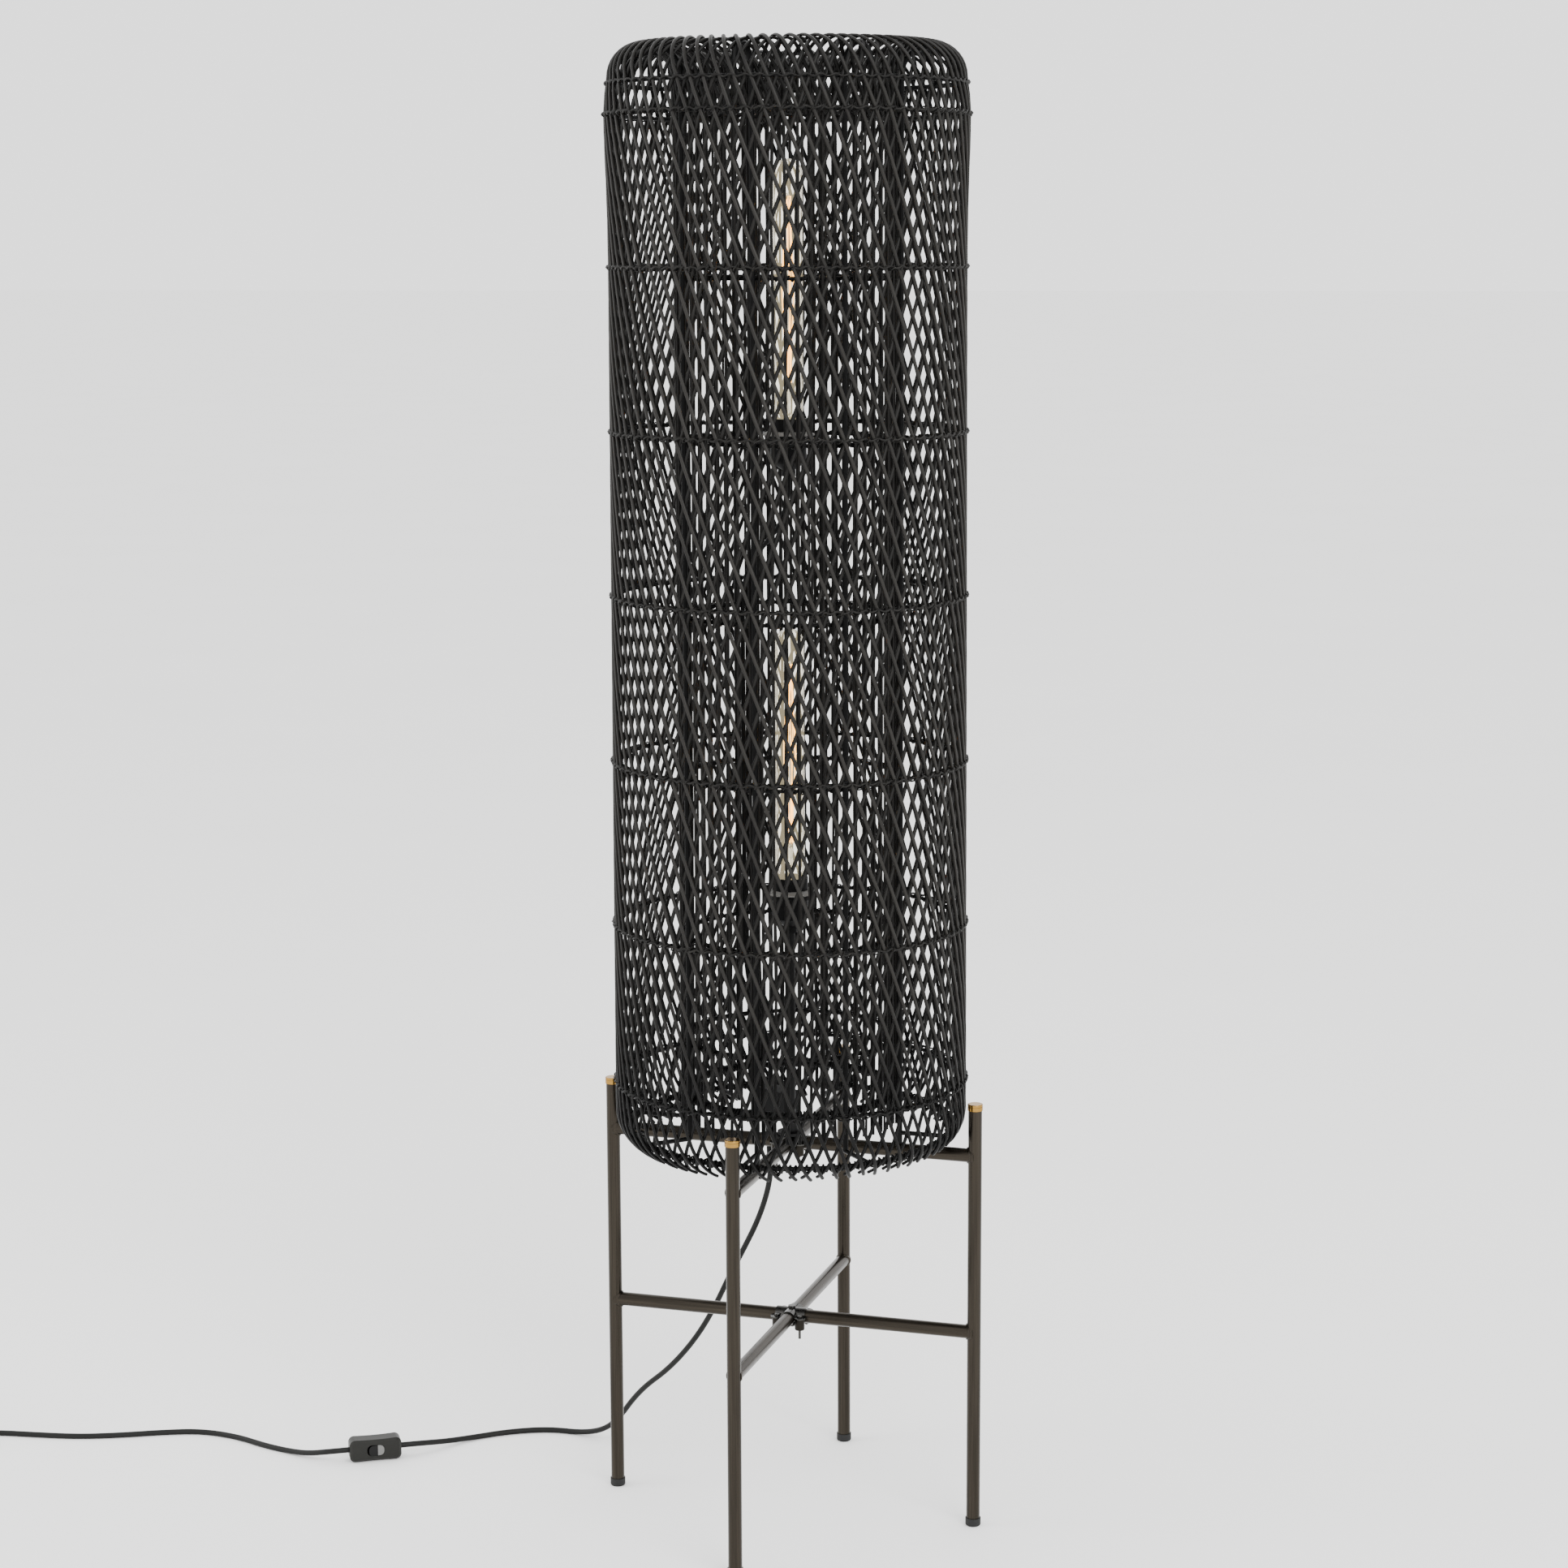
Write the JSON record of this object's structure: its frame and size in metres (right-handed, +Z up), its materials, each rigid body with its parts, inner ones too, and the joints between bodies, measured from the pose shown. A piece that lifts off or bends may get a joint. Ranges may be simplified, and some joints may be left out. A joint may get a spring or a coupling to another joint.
{
  "type": "floor lamp",
  "caption": "Tall floor lamp: a double-walled dark woven cane shade on a slim metal stand, with tube bulbs inside and a mains lead with a hand switch.",
  "frame": {"origin": "on the floor, at the centre of the four legs, below the lamp's axis", "axes": "+Z up along the lamp's axis; +X towards the right leg and -Y towards the front leg"},
  "size_m": [1.3447, 0.433, 1.6025],
  "materials": {
    "stand_metal": "satin dark gunmetal",
    "cap_brass": "polished",
    "foot_rubber": "matte",
    "plate_nickel": "bright nickel plate",
    "boss_bronze": "satin dark bronze",
    "weave_cane": "stained cane, satin",
    "shade_wire": "satin black",
    "stem_metal": "satin black",
    "holder_plastic": "satin moulded",
    "ring_plastic": "satin moulded, light grey",
    "bulb_metal": "bright",
    "contact_metal": "bright",
    "bulb_glass": "clear amber",
    "filament_wire": "glowing wire on a glass stem",
    "box_plastic": "satin moulded",
    "lead_sheath": "satin",
    "cord_sheath": "satin",
    "switch_plastic": "gloss",
    "rocker_plastic": "gloss",
    "pin_metal": "nickel plated"
  },
  "bodies": {
    "root": {"cord_coil": "cord_sheath", "cord_from_lamp": "cord_sheath", "cord_gland": "box_plastic", "cord_to_coil": "cord_sheath", "feet": "foot_rubber", "holder_bridge": "shade_wire", "inner_hoops": "shade_wire", "junction_box": "box_plastic", "junction_lid": "box_plastic", "lamp_stem": "stem_metal", "lead_clips": "box_plastic", "leg_back": "stand_metal", "leg_caps": "cap_brass", "leg_front": "stand_metal", "leg_left": "stand_metal", "leg_right": "stand_metal", "lower_bar_back": "stand_metal", "lower_bar_front": "stand_metal", "lower_bar_left": "stand_metal", "lower_bar_right": "stand_metal", "lower_clamp_bosses": "boss_bronze", "lower_clamp_plate": "plate_nickel", "lower_clamp_screws": "plate_nickel", "lower_holder_body": "holder_plastic", "lower_holder_cap": "holder_plastic", "lower_holder_ring": "ring_plastic", "lower_lead": "lead_sheath", "outer_hoops": "shade_wire", "plug_body": "switch_plastic", "plug_pins": "pin_metal", "shade_frame": "shade_wire", "shade_hem_weave": "weave_cane", "shade_inner_weave": "weave_cane", "shade_outer_weave": "weave_cane", "shade_rim_weave": "weave_cane", "stem_foot": "stem_metal", "switch_base": "switch_plastic", "switch_cover": "switch_plastic", "upper_bar_back": "stand_metal", "upper_bar_front": "stand_metal", "upper_bar_left": "stand_metal", "upper_bar_right": "stand_metal", "upper_clamp_bosses": "boss_bronze", "upper_clamp_plate": "plate_nickel", "upper_clamp_screws": "plate_nickel", "upper_holder_body": "holder_plastic", "upper_holder_cap": "holder_plastic", "upper_holder_ring": "ring_plastic", "upper_lead": "lead_sheath", "weld_beads": "stand_metal"},
    "lower_bulb_lift": {"lower_bulb_contact": "contact_metal"},
    "lower_bulb": {"lower_bulb_base": "bulb_metal", "lower_bulb_glass": "bulb_glass", "lower_bulb_filament": "filament_wire"},
    "upper_bulb_lift": {"upper_bulb_contact": "contact_metal"},
    "upper_bulb": {"upper_bulb_base": "bulb_metal", "upper_bulb_glass": "bulb_glass", "upper_bulb_filament": "filament_wire"},
    "rocker": {"switch_rocker": "rocker_plastic"}
  },
  "joints": [
    {"name": "lower_bulb_rise", "type": "slide", "parent": "root", "child": "lower_bulb_lift", "axis": [0, 0, 1], "range_m": [0, 0.02177]},
    {"name": "lower_bulb_turn", "type": "hinge", "parent": "lower_bulb_lift", "child": "lower_bulb", "pos_m": [0, 0, 0.688], "axis": [0, 0, 1], "range_deg": [0, 2160]},
    {"name": "upper_bulb_rise", "type": "slide", "parent": "root", "child": "upper_bulb_lift", "axis": [0, 0, 1], "range_m": [0, 0.02177]},
    {"name": "upper_bulb_turn", "type": "hinge", "parent": "upper_bulb_lift", "child": "upper_bulb", "pos_m": [0, 0, 1.183], "axis": [0, 0, 1], "range_deg": [0, 2160]},
    {"name": "switch_rock", "type": "hinge", "parent": "root", "child": "rocker", "pos_m": [-0.5038, -0.01026, 0.0138], "axis": [0, 0, -1], "range_deg": [0, 14]}
  ],
  "couplings": [
    {"joint": "lower_bulb_turn", "follows": "lower_bulb_rise", "rad_per_m": 1731.4},
    {"joint": "upper_bulb_turn", "follows": "upper_bulb_rise", "rad_per_m": 1731.4}
  ]
}
